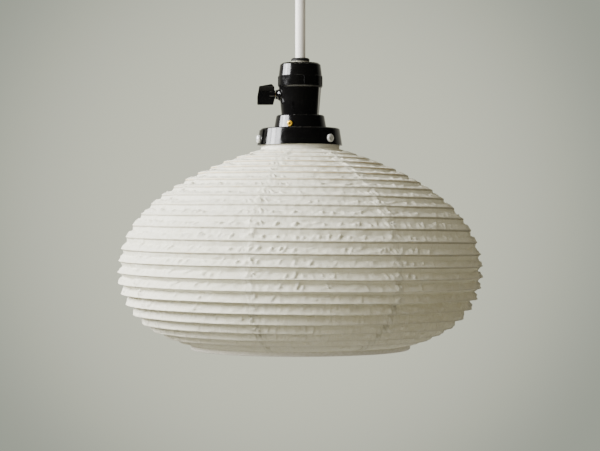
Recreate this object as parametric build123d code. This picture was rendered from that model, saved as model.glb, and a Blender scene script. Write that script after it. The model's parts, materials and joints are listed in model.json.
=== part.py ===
"""Paper lantern pendant lamp, in millimetres, +Z up.

The origin is the centre of the ceiling fitting's mounting face, so everything hangs below z = 0.
+X points to the right and the front of the lamp faces -Y. The switch key is on the -X side.
"""
import math
import os

from build123d import *

# ---------------------------------------------------------------- driving dimensions

# Ceiling fitting
base_radius = 39.0
base_thick = 6.0
cover_radius = 42.0
cover_wall = 2.2
cover_bottom_z = -35.0
cover_corner = 8.0
mouth_z = -41.0
mouth_outer_radius = 12.0
fixing_spacing = 46.0
fixing_hole_radius = 2.25
supply_hole_radius = 7.0

# Ball that hangs in the fitting
ball_z = -30.0
ball_radius = 9.0
seat_clearance = 0.1
throat_radius = 6.6
mouth_radius = 8.6
ball_shank_radius = 6.4
ball_screw_z = -22.5

# Terminals in the ceiling fitting
bar_bottom_z = -13.0
bar_y = 14.0
rose_terminal_x = 8.0
rose_wire_z = bar_bottom_z + 3.8

# Cord
cord_radius = 4.45
cord_top_z = -18.0
cord_end_z = -122.5
core_radius = 1.3
core_offset = 1.7

# Heights down the lampholder
grommet_top_z = -108.7
grommet_bottom_z = -111.6
cap_top_z = -113.1
grommet_flange_z = -116.1
cord_stop_top_z = -117.6
cap_bottom_z = -124.3
spigot_bottom_z = -127.3
ring_bottom_z = -134.7
body_bottom_z = -159.0
step_bottom_z = -170.6
skirt_bottom_z = -185.5
sleeve_bottom_z = -190.0

# Radii down the lampholder
grommet_radius = 8.2
cap_top_radius = 17.9
cap_bottom_radius = 19.1
cap_hole_radius = 5.6
spigot_radius = 18.6
body_spigot_radius = 17.45
ring_radius = 19.6
ridge_height = 0.45
ridge_count = 12
first_ridge_azimuth = 11
ridge_clear_angle = 4
panel_start_azimuth = -46
panel_end_azimuth = -2
body_top_radius = 19.0
body_bottom_radius = 16.6
neck_radius = 16.0
flat_azimuth = 81.0
flat_distance = 16.75
flat_drop = 1.7
mould_line_azimuth = -23
mould_line_width = 0.5
step_top_radius = 21.2
step_bottom_radius = 23.1
skirt_top_radius = 34.8
skirt_bottom_radius = 37.0
skirt_inner_radius = 34.8
pad_height = 1.0
pad_half_angle = 12.0
wall = 2.4

# Inside the lampholder
cavity_radius = 14.9
sleeve_bore_radius = 14.1
puck_top_z = -129.5
puck_bottom_z = -135.5
contact_base_top_z = -152.0
contact_base_bottom_z = -155.0
tie_screw_y = 11.0
terminal_x = 8.0

# Switch key
key_z = -140.7
key_stem_radius = 3.85
key_stem_start_x = -27.0
key_stem_end_x = -22.1
key_shaft_start_x = -26.2
key_half_thick = 3.1
key_dish_radius = 20.0
key_dish_depth = 1.5
key_rim = 1.1
bush_radius = 3.0
boss_end_x = -21.8
boss_flare = 4.6
shaft_radius = 2.0
running_clearance = 0.05
cam_radius = 4.6

# Shade holder's screws
screw_azimuths = (43.5, -76.5, 163.5)
holder_screw_z = -180.3
screw_head_radius = 3.5
screw_head_height = 2.2
screw_shank_radius = 1.95
screw_bush_radius = 2.9
eyelet_azimuth = -23.0
eyelet_z = -167.3
eyelet_radius = 2.75

# Lantern
gore_count = 8
seam_azimuth = -15.0
paper_thick = 0.5
neck_outer_radius = 34.4
neck_inner_radius = 31.0
neck_groove_radius = 32.5
paper_top_radius = 34.9
paper_top_z = -189.2
widest_radius = 159.8
widest_z = -297.3
rim_radius = 96.5
rim_top_z = -360.3
rim_bottom_z = -364.5
rim_gap = 0.3
binding_thick = 0.4
hoop_width = 2.0
shoulder_reach = 54.4
shoulder_drop_angle = 15.9
shoulder_pull = 61.3
belly_pull = 23.6
underside_reach = 49.4
underside_angle = 13.5
rib_width = 1.5
rib_height = 1.2
rib_start = 3.2
rib_pitch = 12.3
rib_pitch_dip = 0.22
rib_dip_centre = 183.0
rib_dip_width = 35.0
rib_end_margin = 5.0
rib_gap = 0.55

# Screw shell and bulb
thread_pitch = 3.63
thread_turns = 6
thread_amplitude = 0.42
thread_top_z = -164.0
shell_thick = 0.4
shell_mean_radius = 13.08
bulb_tip_z = -157.8
bulb_cap_top_z = -163.2
bulb_cap_bottom_z = -187.0
bulb_thread_radius = 12.78
bulb_neck_radius = 13.0
bulb_cap_thick = 0.35
housing_wall = 1.8
housing_neck_z = -191.5
housing_flare_radius = 19.5
housing_flare_z = -207.0
diffuser_wall = 1.2
bulb_radius = 30.0
bulb_shoulder_radius = 28.4
bulb_bottom_z = -268.0
bulb_widest_z = bulb_bottom_z + bulb_radius
bulb_shoulder_z = bulb_widest_z + math.sqrt(bulb_radius ** 2 - bulb_shoulder_radius ** 2)

os.makedirs("parts", exist_ok=True)


# ---------------------------------------------------------------- helpers

def save(name, shape):
    """Write one sub-part to its own STEP file."""
    export_step(shape, f"parts/{name}.step")


def disc(radius, z_low, z_high, x=0.0, y=0.0):
    """Upright cylinder between two heights."""
    middle = (z_low + z_high) / 2
    return Pos(x, y, middle) * Cylinder(radius, z_high - z_low)


def tube(outer, inner, z_low, z_high):
    """Upright tube between two heights."""
    return disc(outer, z_low, z_high) - disc(inner, z_low - 1, z_high + 1)


def turned(points, axis=Axis.Z, angle=360.0):
    """Solid of revolution from a closed outline of (radius, z) points in the XZ plane."""
    outline = Polyline(*[(r, 0, z) for r, z in points], close=True)
    return revolve(make_face(outline), axis, angle)


def block(x_low, x_high, y_low, y_high, z_low, z_high):
    """Box between two corners."""
    size = (x_high - x_low, y_high - y_low, z_high - z_low)
    centre = ((x_low + x_high) / 2, (y_low + y_high) / 2, (z_low + z_high) / 2)
    return Pos(*centre) * Box(*size)


def radial_rod(radius, r_low, r_high, z):
    """Horizontal cylinder along -Y, between two distances from the axis."""
    middle = (r_low + r_high) / 2
    return Pos(0, -middle, z) * Rot(X=90) * Cylinder(radius, r_high - r_low)


def cross_rod(radius, x_low, x_high, y, z):
    """Horizontal cylinder along X."""
    return Pos((x_low + x_high) / 2, y, z) * Rot(Y=90) * Cylinder(radius, x_high - x_low)


def bent_core(points, radii):
    """Insulated core along straight runs joined by arcs."""
    path = FilletPolyline(*points, radius=radii)
    return sweep(Plane(path @ 0, z_dir=path % 0) * Circle(core_radius), path=path)


def panhead_screw(head_radius, head_height, shank_radius, length):
    """Cross-recess screw pointing down, with its head's underside at z = 0."""
    head = disc(head_radius, 0, head_height)
    head = fillet(head.edges().group_by(Axis.Z)[-1], head_height * 0.55)
    slot_width = head_radius * 0.26
    slot_length = head_radius * 1.15
    recess = Pos(0, 0, head_height) * Box(slot_length, slot_width, head_height * 1.2)
    recess += Pos(0, 0, head_height) * Box(slot_width, slot_length, head_height * 1.2)
    return head + disc(shank_radius, -length, 0) - recess


def slotted_screw(head_radius, head_height, shank_radius, length):
    """Slotted cheese-head screw pointing down, with its head's underside at z = 0."""
    head = disc(head_radius, 0, head_height)
    head = chamfer(head.edges().group_by(Axis.Z)[-1], head_height * 0.2)
    slot = Pos(0, 0, head_height) * Box(head_radius * 3, head_radius * 0.3, head_height * 0.9)
    return head + disc(shank_radius, -length, 0) - slot


# ---------------------------------------------------------------- ceiling fitting

def make_rose_base():
    """Round plate screwed to the ceiling, with the supply hole in its middle."""
    plate = disc(base_radius, -base_thick, 0)
    plate = chamfer(plate.edges().group_by(Axis.Z)[0], 0.8)
    plate -= disc(supply_hole_radius, -base_thick - 1, 1)
    for side in (-1, 1):
        plate -= disc(fixing_hole_radius, -base_thick - 1, 1, x=side * fixing_spacing / 2)
        plate -= disc(fixing_hole_radius * 2, -base_thick - 1, -base_thick + 2.5, x=side * fixing_spacing / 2)
    return plate


def make_rose_cover():
    """Cup over the terminals, with the ball's seat and a flared mouth for the cord."""
    outer = disc(cover_radius, cover_bottom_z, 0)
    outer = fillet(outer.edges().group_by(Axis.Z)[0], cover_corner)
    inner = disc(cover_radius - cover_wall, cover_bottom_z + cover_wall, 1)
    inner = fillet(inner.edges().group_by(Axis.Z)[0], cover_corner - cover_wall)
    cup = outer - inner
    seat = disc(mouth_outer_radius, mouth_z, ball_z + 3)
    seat = fillet(seat.edges().group_by(Axis.Z)[0], 1.6)
    cup += seat
    socket_radius = ball_radius + seat_clearance
    cup -= Pos(0, 0, ball_z) * Sphere(socket_radius)
    cup -= disc(socket_radius, ball_z, 0)
    throat_z = ball_z - math.sqrt(socket_radius ** 2 - throat_radius ** 2)
    overlap = 0.5
    cup -= turned([
        (0, throat_z + overlap),
        (throat_radius, throat_z + overlap),
        (throat_radius, throat_z),
        (mouth_radius, mouth_z - 1),
        (0, mouth_z - 1),
    ])
    cup -= disc(base_radius + 0.05, -base_thick, 1)
    return cup


def make_cord_ball():
    """Ball clamped on the cord. It sits in the cover's seat and lets the lamp swing."""
    ball = Pos(0, 0, ball_z) * Sphere(ball_radius)
    ball += disc(ball_shank_radius, ball_z, cord_top_z - 2)
    ball -= disc(cord_radius, ball_z - 20, 0)
    ball -= radial_rod(1.5, 0, 20, ball_screw_z)
    return ball


def make_ball_screw():
    """Grub screw that grips the cord in the ball's shank."""
    body = radial_rod(1.45, cord_radius, ball_shank_radius + 0.3, ball_screw_z)
    slot = Pos(0, -ball_shank_radius - 0.3, ball_screw_z) * Box(4, 1.0, 0.5)
    return body - slot


def make_terminal_bar():
    """Insulating bar under the base that carries the two ceiling terminals."""
    bar = block(-14, 14, bar_y - 5, bar_y + 5, bar_bottom_z, -base_thick)
    for side in (-1, 1):
        x = side * rose_terminal_x
        bar -= block(x - 3.0, x + 3.0, bar_y - 6, bar_y + 6, bar_bottom_z + 1.5, bar_bottom_z + 6)
        bar -= disc(1.9, bar_bottom_z - 1, bar_bottom_z + 2, x=x, y=bar_y)
    return bar


def make_rose_terminals():
    """Two brass terminal blocks with a cross hole each for the wires."""
    blocks = []
    for side in (-1, 1):
        x = side * rose_terminal_x
        brass = block(x - 2.9, x + 2.9, bar_y - 4.8, bar_y + 4.8, bar_bottom_z + 1.6, bar_bottom_z + 5.9)
        brass -= Pos(x, bar_y, rose_wire_z) * Rot(X=90) * Cylinder(core_radius, 20)
        brass -= disc(1.3, bar_bottom_z - 1, rose_wire_z, x=x, y=bar_y)
        blocks.append(brass)
    return Compound(blocks)


def make_rose_terminal_screws():
    """Two clamping screws that reach the terminals from below."""
    screw = Rot(X=180) * slotted_screw(1.8, 1.4, 1.25, 2.4)
    screws = []
    for side in (-1, 1):
        screws.append(Pos(side * rose_terminal_x, bar_y, bar_bottom_z) * screw)
    return Compound(screws)


def make_rose_cores():
    """Two insulated cores from the cord's end to the ceiling terminals."""
    cores = []
    for side in (-1, 1):
        points = [
            (side * core_offset, 0, cord_top_z),
            (side * core_offset, 0, rose_wire_z),
            (side * rose_terminal_x, 3.0, rose_wire_z),
            (side * rose_terminal_x, bar_y - 4.8, rose_wire_z),
        ]
        cores.append(bent_core(points, (2.6, 3.4)))
    return Compound(cores)


# ---------------------------------------------------------------- cord and its fixing in the cap

def make_pendant_cord():
    """Round cord, pulled straight by the lamp's weight."""
    return disc(cord_radius, cord_end_z, cord_top_z)


def make_cord_grommet():
    """Rubber bush snapped into the cap's hole, with a domed head above and a flange below."""
    return turned([
        (cord_radius, grommet_top_z),
        (grommet_radius - 1.0, grommet_top_z),
        (grommet_radius, grommet_top_z - 1.1),
        (grommet_radius - 0.2, grommet_bottom_z),
        (cap_hole_radius - 0.05, grommet_bottom_z),
        (cap_hole_radius - 0.05, grommet_flange_z),
        (grommet_radius - 1.0, grommet_flange_z),
        (grommet_radius - 1.4, cord_stop_top_z),
        (cord_radius, cord_stop_top_z),
    ])


def make_grommet_washer():
    """Pale washer between the bush's head and the cap."""
    return tube(grommet_radius - 0.1, cap_hole_radius, cap_top_z, grommet_bottom_z)


def make_cord_stop():
    """Split collar clamped on the cord under the grommet, which carries the lamp's weight."""
    collar = tube(7.0, cord_radius, cord_end_z + 0.9, cord_stop_top_z)
    collar = chamfer(collar.edges().group_by(Axis.Z)[0], 0.4)
    return collar - block(0, 10, -0.4, 0.4, cord_end_z, cord_stop_top_z + 1)


def make_socket_cores():
    """Two insulated cores from the cord's end to the lampholder's terminals."""
    wire_z = puck_top_z + 1.0 + core_radius
    cores = []
    for side in (-1, 1):
        points = [
            (side * core_offset, 0, cord_end_z),
            (side * core_offset, 0, wire_z),
            (side * (terminal_x - 2.65), 0, wire_z),
        ]
        cores.append(bent_core(points, (2.0,)))
    return Compound(cores)


# ---------------------------------------------------------------- lampholder shell

def make_socket_cap():
    """Tapered cap with a bevelled top edge and a spigot that sits inside the grip ring."""
    return turned([
        (cap_hole_radius, cap_top_z),
        (cap_top_radius - 1.7, cap_top_z),
        (cap_top_radius, cap_top_z - 1.5),
        (cap_bottom_radius, cap_bottom_z),
        (spigot_radius, cap_bottom_z),
        (spigot_radius, spigot_bottom_z),
        (cavity_radius, spigot_bottom_z),
        (cavity_radius, grommet_flange_z - 1.5),
        (cavity_radius - 1.5, grommet_flange_z),
        (cap_hole_radius, grommet_flange_z),
    ])


def make_grip_ring():
    """Ring that clamps the cap to the body, with upright grip ridges and one smooth panel."""
    ring = turned([
        (spigot_radius + 0.05, cap_bottom_z),
        (ring_radius - 0.3, cap_bottom_z),
        (ring_radius, cap_bottom_z - 0.4),
        (ring_radius, ring_bottom_z + 1.2),
        (ring_radius - 0.7, ring_bottom_z),
        (body_spigot_radius + 0.05, ring_bottom_z),
        (body_spigot_radius + 0.05, spigot_bottom_z),
        (spigot_radius + 0.05, spigot_bottom_z),
    ])
    ridge_low = ring_bottom_z + 1.3
    ridge_high = cap_bottom_z - 0.8
    ridge = block(-0.55, 0.55, -ring_radius - ridge_height, -ring_radius + 0.5, ridge_low, ridge_high)
    ridge = chamfer(ridge.faces().sort_by(Axis.Y)[0].edges(), 0.25)
    for index in range(ridge_count):
        azimuth = first_ridge_azimuth - index * 360 // ridge_count
        if not panel_start_azimuth - ridge_clear_angle <= azimuth <= panel_end_azimuth:
            ring += Rot(Z=azimuth) * ridge
    panel = turned([
        (ring_radius - 0.5, ridge_low),
        (ring_radius + ridge_height - 0.2, ridge_low),
        (ring_radius + ridge_height - 0.2, ridge_high),
        (ring_radius - 0.5, ridge_high),
    ], angle=panel_end_azimuth - panel_start_azimuth)
    return ring + Rot(Z=panel_start_azimuth - 90) * panel


def make_socket_body():
    """Tapered body with the key's flared boss, a flat on the far side and the shade holder's neck."""
    body = turned([
        (cavity_radius, spigot_bottom_z),
        (body_spigot_radius, spigot_bottom_z),
        (body_spigot_radius, ring_bottom_z),
        (body_top_radius, ring_bottom_z),
        (body_bottom_radius, body_bottom_z),
        (neck_radius, body_bottom_z),
        (neck_radius, sleeve_bottom_z),
        (sleeve_bore_radius, sleeve_bottom_z),
        (sleeve_bore_radius, contact_base_bottom_z),
        (cavity_radius, contact_base_bottom_z),
    ])
    key_axis = Axis((0, 0, key_z), (1, 0, 0))
    flare_end_x = boss_end_x + boss_flare
    boss_radius = key_stem_radius + 0.15
    diagonal = boss_flare * (1 - math.sqrt(0.5))
    flare = ThreePointArc(
        (boss_end_x, 0, key_z + boss_radius),
        (flare_end_x - diagonal, 0, key_z + boss_radius + diagonal),
        (flare_end_x, 0, key_z + boss_radius + boss_flare),
    )
    outline = Polyline(
        (flare_end_x, 0, key_z + boss_radius + boss_flare),
        (-cavity_radius - 0.5, 0, key_z + boss_radius + boss_flare),
        (-cavity_radius - 0.5, 0, key_z),
        (boss_end_x, 0, key_z),
        (boss_end_x, 0, key_z + boss_radius),
    )
    boss = revolve(make_face(Curve() + [flare, outline]), key_axis, 360)
    boss -= disc(cavity_radius, key_z - 30, key_z + 30)
    boss -= disc(40, ring_bottom_z, ring_bottom_z + 20)
    body += boss
    body -= cross_rod(bush_radius, boss_end_x - 1, -5, 0, key_z)
    body_height = ring_bottom_z - body_bottom_z
    body_middle_z = (ring_bottom_z + body_bottom_z) / 2
    flat_tilt = math.degrees(math.atan2(flat_drop, body_height))
    cutter = Rot(Z=flat_azimuth - 90) * Pos(flat_distance, 0, body_middle_z)
    cutter *= Rot(Y=flat_tilt) * Pos(10, 0, 0) * Box(20, 40, 60)
    body -= cutter & block(0, 40, -40, 40, body_bottom_z, ring_bottom_z)
    line_tilt = math.degrees(math.atan2(body_top_radius - body_bottom_radius, body_height))
    line_radius = (body_top_radius + body_bottom_radius) / 2
    mould_line = Rot(Z=mould_line_azimuth) * Pos(0, -line_radius, body_middle_z)
    mould_line *= Rot(X=-line_tilt) * Box(mould_line_width, mould_line_width, body_height - 1.0)
    return body + mould_line


# ---------------------------------------------------------------- inside the lampholder

def make_terminal_puck():
    """Insulating puck with two legs that stand on the contact base, and a lug for the shaft's end."""
    puck = disc(cavity_radius - 0.1, puck_bottom_z, puck_top_z)
    for side in (-1, 1):
        puck += disc(2.7, contact_base_top_z, puck_bottom_z, y=side * tie_screw_y)
    lug = block(9.0, 12.5, -3.6, 3.6, key_z - 4.0, puck_bottom_z)
    puck += lug
    puck -= cross_rod(shaft_radius + running_clearance, 5, 14, 0, key_z)
    for side in (-1, 1):
        puck -= disc(1.3, contact_base_top_z - 1, puck_top_z + 1, y=side * tie_screw_y)
        puck -= disc(1.6, puck_top_z - 4, puck_top_z + 1, x=side * terminal_x)
    puck -= block(-4.2, 0.2, 7.1, 7.9, puck_bottom_z - 1, puck_top_z + 1)
    puck -= block(-12.5, -11.7, 2.9, 6.6, puck_bottom_z - 1, puck_top_z + 1)
    return puck


def make_line_terminal():
    """Brass plate for the live core, with a leg down to the switch's fixed contact."""
    plate = block(terminal_x - 4, terminal_x + 4, -3, 3, puck_top_z, puck_top_z + 1)
    plate += block(-4.0, terminal_x + 4, 3, 7.8, puck_top_z, puck_top_z + 1)
    plate += block(-4.0, 0.0, 7.2, 7.8, -144.0, puck_top_z + 1)
    return plate - disc(1.6, puck_top_z - 1, puck_top_z + 2, x=terminal_x)


def make_neutral_terminal():
    """Brass plate for the neutral core, with a leg down to the screw shell's rivet."""
    plate = block(-12.4, -terminal_x + 4, -3, 3, puck_top_z, puck_top_z + 1)
    plate += block(-12.4, -terminal_x, 3, 6.5, puck_top_z, puck_top_z + 1)
    leg = block(-12.4, -11.8, 3.0, 6.5, contact_base_top_z, puck_top_z + 1)
    foot = block(-12.9, -9.0, -2.0, 6.5, contact_base_top_z, contact_base_top_z + 0.6)
    foot -= disc(1.0, contact_base_top_z - 1, contact_base_top_z + 1, x=-11.0)
    return plate + leg + foot - disc(1.6, puck_top_z - 1, puck_top_z + 2, x=-terminal_x)


def make_terminal_screws():
    """Two screws that clamp the cores on the terminal plates."""
    screw = slotted_screw(2.6, 1.6, 1.55, 3.8)
    screws = []
    for side in (-1, 1):
        screws.append(Pos(side * terminal_x, 0, puck_top_z + 1) * screw)
    return Compound(screws)


def make_tie_screws():
    """Two long screws that hold the puck on the contact base."""
    screw = slotted_screw(2.2, 1.5, 1.25, puck_top_z - contact_base_bottom_z - 0.5)
    screws = []
    for side in (-1, 1):
        screws.append(Pos(0, side * tie_screw_y, puck_top_z) * screw)
    return Compound(screws)


def make_contact_base():
    """Insulating disc that carries the screw shell below and the switch blade above."""
    base = disc(cavity_radius - 0.1, contact_base_bottom_z, contact_base_top_z)
    for side in (-1, 1):
        base -= disc(1.25, contact_base_bottom_z - 1, contact_base_top_z + 1, y=side * tie_screw_y)
    for x in (-11.0, 11.0):
        base -= disc(1.0, contact_base_bottom_z - 1, contact_base_top_z + 1, x=x)
    return base - disc(1.0, contact_base_bottom_z - 1, contact_base_top_z + 1, x=-2.0, y=6.0)


def make_centre_contact():
    """Sprung tongue under the base, with its rivet up to the switch blade."""
    tongue_low = bulb_tip_z + 0.3
    outline = Polyline(
        (0, 8.0, contact_base_bottom_z),
        (0, 8.0, contact_base_bottom_z - 0.5),
        (0, 3.2, contact_base_bottom_z - 0.5),
        (0, 1.6, tongue_low),
        (0, -2.5, tongue_low),
        (0, -2.5, tongue_low + 0.5),
        (0, 1.3, tongue_low + 0.5),
        (0, 2.9, contact_base_bottom_z),
        close=True,
    )
    tongue = Pos(-1.0, 0, 0) * extrude(make_face(outline), amount=2.2, both=True)
    rivet = disc(1.0, contact_base_bottom_z - 0.5, contact_base_top_z + 0.6, x=-2.0, y=6.0)
    return tongue + rivet


def make_switch_blade():
    """Spring blade beside the cam, standing on the centre contact's rivet."""
    upright = block(-4.0, 0.0, 5.0, 5.4, contact_base_top_z, key_z + 3.5)
    foot = block(-4.0, 0.0, 5.0, 7.6, contact_base_top_z, contact_base_top_z + 0.5)
    return upright + foot - disc(1.0, contact_base_top_z - 1, contact_base_top_z + 1, x=-2.0, y=6.0)


def make_switch_contacts():
    """Silver buttons on the blade and on the line terminal's leg."""
    blade_button = Pos(-2.0, 5.7, key_z - 1.5) * Rot(X=90) * Cylinder(1.2, 0.6)
    leg_button = Pos(-2.0, 6.95, key_z - 1.5) * Rot(X=90) * Cylinder(1.2, 0.5)
    return Compound([blade_button, leg_button])


def thread_wave(mean_radius, z_top):
    """Rolled Edison thread as round crests and roots, from the top down."""
    edges = []
    half = thread_pitch / 2
    for index in range(2 * thread_turns):
        z_start = z_top - index * half
        side = 1 if index % 2 == 0 else -1
        middle = (mean_radius + side * thread_amplitude, 0, z_start - half / 2)
        edges.append(ThreePointArc((mean_radius, 0, z_start), middle, (mean_radius, 0, z_start - half)))
    return edges


def thread_tube(inner_mean, outer_mean, z_top):
    """Tube whose two walls follow the same rolled thread."""
    z_low = z_top - thread_turns * thread_pitch
    edges = thread_wave(outer_mean, z_top) + thread_wave(inner_mean, z_top)
    edges.append(Line((inner_mean, 0, z_top), (outer_mean, 0, z_top)))
    edges.append(Line((inner_mean, 0, z_low), (outer_mean, 0, z_low)))
    return revolve(make_face(Curve() + edges), Axis.Z, 360)


def make_screw_shell():
    """Rolled screw shell with a flange riveted under the contact base."""
    outer_mean = shell_mean_radius + shell_thick
    shell = thread_tube(shell_mean_radius, outer_mean, thread_top_z)
    shell += tube(outer_mean, shell_mean_radius, thread_top_z, contact_base_bottom_z)
    flange = tube(outer_mean, 9.6, contact_base_bottom_z - 0.5, contact_base_bottom_z)
    for side in (-1, 1):
        flange -= disc(1.25, contact_base_bottom_z - 1, contact_base_top_z, y=side * tie_screw_y)
        flange -= disc(1.0, contact_base_bottom_z - 1, contact_base_top_z, x=side * 11.0)
    return shell + flange


def make_shell_rivets():
    """Two rivets through the shell's flange and the contact base."""
    rivets = []
    for x, top in ((-11.0, contact_base_top_z + 0.6), (11.0, contact_base_top_z)):
        rivet = disc(1.0, contact_base_bottom_z - 0.5, top, x=x)
        rivet += disc(1.7, top, top + 0.8, x=x)
        rivet += disc(1.7, contact_base_bottom_z - 1.1, contact_base_bottom_z - 0.5, x=x)
        rivets.append(rivet)
    return Compound(rivets)


# ---------------------------------------------------------------- switch key

def make_key_bush():
    """Brass bearing for the key's shaft, pressed in the body's boss."""
    bush = cross_rod(bush_radius, boss_end_x, -14.0, 0, key_z)
    return bush - cross_rod(shaft_radius + running_clearance, boss_end_x - 1, -13, 0, key_z)


def make_key_shaft():
    """Brass shaft from the key, through the bush and the cam, to the puck's lug."""
    return cross_rod(shaft_radius, key_shaft_start_x, 12.0, 0, key_z) - cross_rod_y(0.6, -1.0)


def cross_rod_y(radius, x):
    """Horizontal cylinder along Y through the key's axis."""
    return Pos(x, 0, key_z) * Rot(X=90) * Cylinder(radius, 8.0)


def make_switch_key():
    """Finger key: a stem with a paddle that is dished on both sides."""
    stem = cross_rod(key_stem_radius, key_stem_start_x, key_stem_end_x, 0, key_z)
    outline = Polyline(
        (-37.9, 0, key_z - 9.0),
        (-24.0, 0, key_z - 9.0),
        (-22.8, 0, key_z - 4.5),
        (-22.8, 0, key_z + 6.6),
        (-25.2, 0, key_z + 9.2),
        (-36.2, 0, key_z + 7.3),
        (-37.9, 0, key_z - 2.0),
        close=True,
    )
    paddle = extrude(make_face(outline), amount=key_half_thick, both=True)
    for side in (-1, 1):
        centre_y = side * (key_half_thick - key_dish_depth + key_dish_radius)
        paddle -= cross_rod(key_dish_radius, -40.0, -22.8 - key_rim, centre_y, key_z)
    paddle = chamfer(paddle.edges().filter_by(Axis.Y), 0.35)
    return paddle + stem - cross_rod(shaft_radius, key_shaft_start_x, -20, 0, key_z)


def make_switch_cam():
    """Four-lobed insulating cam on the shaft."""
    side = cam_radius * math.sqrt(2)
    lobes = Pos(-2.0, 0, key_z) * Box(7.0, side, side)
    cam = lobes & cross_rod(cam_radius - 0.25, -6, 2, 0, key_z)
    cam -= cross_rod(shaft_radius, -8, 4, 0, key_z)
    return cam - cross_rod_y(0.6, -1.0)


def make_cam_pin():
    """Pin that locks the cam on the shaft."""
    return Pos(-1.0, 0, key_z) * Rot(X=90) * Cylinder(0.6, 2 * cam_radius * 0.68)


# ---------------------------------------------------------------- shade holder

def on_azimuth(azimuth, shape):
    """Turn a piece made at the front (-Y) round to its azimuth, positive towards +X."""
    return Rot(Z=azimuth) * shape


def skirt_radius_at(z):
    """Outer radius of the skirt's cone at a height."""
    share = (step_bottom_z - z) / (step_bottom_z - skirt_bottom_z)
    return skirt_top_radius + share * (skirt_bottom_radius - skirt_top_radius)


def screw_seat_radius():
    """Distance from the axis to the face that the holder's screw heads sit on."""
    return skirt_radius_at(holder_screw_z) + pad_height - 0.2


def make_shade_holder():
    """Stepped holder screwed on the body's neck, with a skirt over the lantern's collar."""
    step_inner = step_bottom_radius - wall - 0.6
    boss_outer = neck_radius + 2.2
    roof = step_bottom_z - wall
    holder = turned([
        (neck_radius + 0.05, body_bottom_z),
        (step_top_radius - 0.9, body_bottom_z),
        (step_top_radius, body_bottom_z - 0.9),
        (step_bottom_radius, step_bottom_z),
        (skirt_top_radius - 1.0, step_bottom_z),
        (skirt_top_radius, step_bottom_z - 0.8),
        (skirt_bottom_radius, skirt_bottom_z),
        (skirt_inner_radius, skirt_bottom_z),
        (skirt_inner_radius - 1.5, roof),
        (step_inner, roof),
        (step_inner, body_bottom_z - wall),
        (boss_outer, body_bottom_z - wall),
        (boss_outer, body_bottom_z - 13.0),
        (neck_radius + 0.05, body_bottom_z - 13.0),
    ])
    pad_outer = turned([
        (skirt_inner_radius + 0.3, skirt_bottom_z),
        (skirt_bottom_radius + pad_height, skirt_bottom_z),
        (skirt_radius_at(step_bottom_z - 1.6) + pad_height, step_bottom_z - 1.6),
        (skirt_inner_radius - 0.9, step_bottom_z - 1.6),
    ], angle=2 * pad_half_angle)
    head_seat = screw_seat_radius()
    for azimuth in screw_azimuths:
        holder += Rot(Z=azimuth - 90 - pad_half_angle) * pad_outer
        holder -= on_azimuth(azimuth, radial_rod(screw_bush_radius, 30, 45, holder_screw_z))
        holder -= on_azimuth(azimuth, radial_rod(screw_head_radius + 0.3, head_seat, 45, holder_screw_z))
    holder += on_azimuth(eyelet_azimuth, radial_rod(3.6, neck_radius + 1.5, step_inner + 0.5, eyelet_z))
    holder -= on_azimuth(eyelet_azimuth, radial_rod(2.2, 10, 30, eyelet_z))
    lip_seat = step_bottom_radius - 0.6
    holder -= on_azimuth(eyelet_azimuth, radial_rod(eyelet_radius + 0.1, lip_seat, 30, eyelet_z))
    return holder


def make_holder_eyelet():
    """Brass eyelet with a rolled lip, threaded inside for the lock screw."""
    face_radius = step_bottom_radius - 0.5
    barrel = radial_rod(2.2, neck_radius + 1.2, face_radius + 0.2, eyelet_z)
    lip = radial_rod(eyelet_radius, face_radius - 0.1, face_radius + 1.1, eyelet_z)
    lip = fillet(lip.edges().group_by(Axis.Y)[0], 0.9)
    eyelet = barrel + lip
    eyelet -= radial_rod(1.0, 10, 30, eyelet_z)
    return on_azimuth(eyelet_azimuth, eyelet)


def make_lock_screw():
    """Grub screw inside the eyelet that stops the holder from turning on the neck."""
    grub = radial_rod(0.97, neck_radius, step_bottom_radius - 2.2, eyelet_z)
    slot = Pos(0, -step_bottom_radius + 2.2, eyelet_z) * Box(3.0, 1.0, 0.4)
    return on_azimuth(eyelet_azimuth, grub - slot)


def make_holder_screws():
    """Three cross-recess screws round the skirt, whose tips reach into the collar's groove."""
    head_seat = screw_seat_radius()
    length = head_seat - neck_groove_radius - 0.1
    screw = panhead_screw(screw_head_radius, screw_head_height, screw_shank_radius, length)
    placed = Pos(0, -head_seat, holder_screw_z) * Rot(X=90) * screw
    return Compound([on_azimuth(azimuth, placed) for azimuth in screw_azimuths])


def make_screw_bushes():
    """Three brass threaded bushes in the skirt behind the screw heads."""
    bush = radial_rod(screw_bush_radius, skirt_inner_radius - 0.4, screw_seat_radius(), holder_screw_z)
    bush -= radial_rod(screw_shank_radius, 30, 45, holder_screw_z)
    return Compound([on_azimuth(azimuth, bush) for azimuth in screw_azimuths])


# ---------------------------------------------------------------- lantern

def profile_curves(inset):
    """The lantern's two outline curves from collar to widest point to rim, moved in by inset."""
    shoulder = math.radians(shoulder_drop_angle)
    under = math.radians(underside_angle)
    top_r = paper_top_radius - inset * math.sin(shoulder)
    top_z = paper_top_z - inset * math.cos(shoulder)
    side_r = widest_radius - inset
    end_r = rim_radius - inset * math.sin(under)
    end_z = rim_top_z + inset * math.cos(under)
    upper = Bezier(
        (top_r, 0, top_z),
        (top_r + shoulder_reach * math.cos(shoulder), 0, top_z - shoulder_reach * math.sin(shoulder)),
        (side_r, 0, widest_z + shoulder_pull),
        (side_r, 0, widest_z),
    )
    lower = Bezier(
        (side_r, 0, widest_z),
        (side_r, 0, widest_z - belly_pull),
        (end_r + underside_reach * math.cos(under), 0, end_z + underside_reach * math.sin(under)),
        (end_r, 0, end_z),
    )
    return upper, lower


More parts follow.
